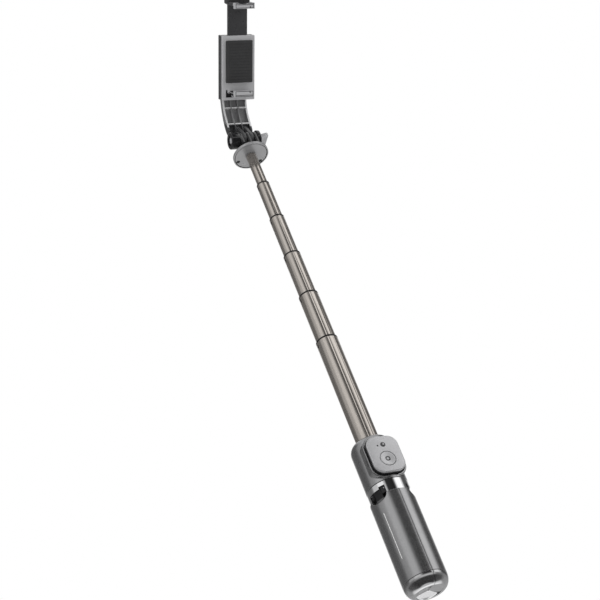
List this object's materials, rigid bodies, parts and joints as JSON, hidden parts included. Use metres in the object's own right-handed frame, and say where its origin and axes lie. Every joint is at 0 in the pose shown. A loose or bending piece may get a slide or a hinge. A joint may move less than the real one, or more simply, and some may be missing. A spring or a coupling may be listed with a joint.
{
  "type": "selfie stick",
  "caption": "Telescopic selfie stick with a fold-out tripod handle, pull-out remote and a tilting spring clamp for a phone.",
  "frame": {"origin": "on the mast axis at the middle of the grip, 40 mm above the handle's lower end", "axes": "+Z along the mast towards the phone clamp, -Y the side of the remote, +X to the remote's right"},
  "size_m": [0.037, 0.1104, 0.5361],
  "materials": {
    "leg_grey": "satin gunmetal paint on plastic",
    "foot_grey": "glossy gunmetal plastic",
    "black_plastic": "fine matt black",
    "black_chrome": "polished",
    "zinc_steel": "zinc plated",
    "tube_steel": "polished warm grey steel",
    "disc_grey": "satin grey",
    "black_screw": "blackened",
    "dark_plastic": "satin dark grey",
    "light_plastic": "satin light grey",
    "rubber": "matt",
    "board_green": "solder mask",
    "lens": "clear"
  },
  "bodies": {
    "handle": {"housing_shell": "leg_grey", "trim_band": "black_chrome", "tripod_hub": "black_plastic", "leg_pin_front_left": "zinc_steel", "leg_pin_front_right": "zinc_steel", "leg_pin_back": "zinc_steel"},
    "front_left_leg": {"leg_front_left": "leg_grey", "leg_liner_front_left": "black_plastic", "foot_pad_front_left": "foot_grey"},
    "front_right_leg": {"leg_front_right": "leg_grey", "leg_liner_front_right": "black_plastic", "foot_pad_front_right": "foot_grey"},
    "back_leg": {"leg_back": "leg_grey", "leg_liner_back": "black_plastic", "foot_pad_back": "foot_grey"},
    "section_6": {"tube_6": "tube_steel", "mouth_bush_6": "black_plastic", "tube_plug_6": "black_plastic"},
    "section_5": {"tube_5": "tube_steel", "mouth_bush_5": "black_plastic", "tube_plug_5": "black_plastic"},
    "section_4": {"tube_4": "tube_steel", "mouth_bush_4": "black_plastic", "tube_plug_4": "black_plastic"},
    "section_3": {"tube_3": "tube_steel", "mouth_bush_3": "black_plastic", "tube_plug_3": "black_plastic"},
    "section_2": {"tube_2": "tube_steel", "mouth_bush_2": "black_plastic", "tube_plug_2": "black_plastic"},
    "mast_end": {"tube_1": "tube_steel", "tube_plug_1": "black_plastic", "cap_disc": "disc_grey", "disc_screw_left": "black_screw", "disc_screw_right": "black_screw", "knuckle_base": "dark_plastic", "hinge_nut": "zinc_steel"},
    "thumb_screw": {"wing_screw": "light_plastic"},
    "clamp": {"tilt_arm": "dark_plastic", "clamp_body": "light_plastic", "clamp_cover": "dark_plastic", "lower_pad": "rubber", "rest_pad": "rubber", "guide_rod_left": "zinc_steel", "guide_rod_right": "zinc_steel", "arm_screw_left": "zinc_steel", "arm_screw_right": "zinc_steel", "clamp_spring_left": "zinc_steel", "clamp_spring_right": "zinc_steel"},
    "upper_jaw": {"clamp_slider": "light_plastic", "upper_pad": "rubber"},
    "remote": {"remote_back": "dark_plastic", "remote_face": "light_plastic", "remote_led": "lens", "remote_board": "board_green", "remote_cell": "zinc_steel", "cell_door": "dark_plastic"},
    "button": {"shutter_button": "light_plastic"}
  },
  "joints": [
    {"name": "front_left_leg_fold", "type": "hinge", "parent": "handle", "child": "front_left_leg", "pos_m": [-0.011, -0.00635, 0.041], "axis": [-0.5, 0.866, 0], "range_deg": [0, 62]},
    {"name": "front_right_leg_fold", "type": "hinge", "parent": "handle", "child": "front_right_leg", "pos_m": [0.011, -0.00635, 0.041], "axis": [-0.5, -0.866, 0], "range_deg": [0, 62]},
    {"name": "back_leg_fold", "type": "hinge", "parent": "handle", "child": "back_leg", "pos_m": [0, 0.0127, 0.041], "axis": [1, 0, 0], "range_deg": [0, 62]},
    {"name": "tube_6_slide", "type": "slide", "parent": "handle", "child": "section_6", "axis": [0, 0, 1], "range_m": [-0.0961, 0]},
    {"name": "tube_5_slide", "type": "slide", "parent": "section_6", "child": "section_5", "axis": [0, 0, 1], "range_m": [-0.0455, 0.053]},
    {"name": "tube_4_slide", "type": "slide", "parent": "section_5", "child": "section_4", "axis": [0, 0, 1], "range_m": [-0.0425, 0.054]},
    {"name": "tube_3_slide", "type": "slide", "parent": "section_4", "child": "section_3", "axis": [0, 0, 1], "range_m": [-0.0406, 0.054]},
    {"name": "tube_2_slide", "type": "slide", "parent": "section_3", "child": "section_2", "axis": [0, 0, 1], "range_m": [-0.0384, 0.054]},
    {"name": "tube_1_slide", "type": "slide", "parent": "section_2", "child": "mast_end", "axis": [0, 0, 1], "range_m": [-0.0335, 0.054]},
    {"name": "wing_screw_turn", "type": "hinge", "parent": "mast_end", "child": "thumb_screw", "pos_m": [0.0099, 0, 0.4049], "axis": [1, 0, 0], "continuous": true},
    {"name": "head_tilt", "type": "hinge", "parent": "mast_end", "child": "clamp", "pos_m": [0, 0, 0.4049], "axis": [1, 0, 0], "range_deg": [-104, 55]},
    {"name": "jaw_slide", "type": "slide", "parent": "clamp", "child": "upper_jaw", "axis": [0, -0.8111, 0.585], "range_m": [-0.015, 0.014], "stiffness_N_per_m": 120, "springref_m": -0.03, "deforming": ["clamp_spring_left", "clamp_spring_right"]},
    {"name": "remote_slide", "type": "slide", "parent": "handle", "child": "remote", "axis": [0, -1, 0], "range_m": [0, 0.012]},
    {"name": "button_press", "type": "slide", "parent": "remote", "child": "button", "axis": [0, 1, 0], "range_m": [0, 0.0005], "stiffness_N_per_m": 300}
  ]
}
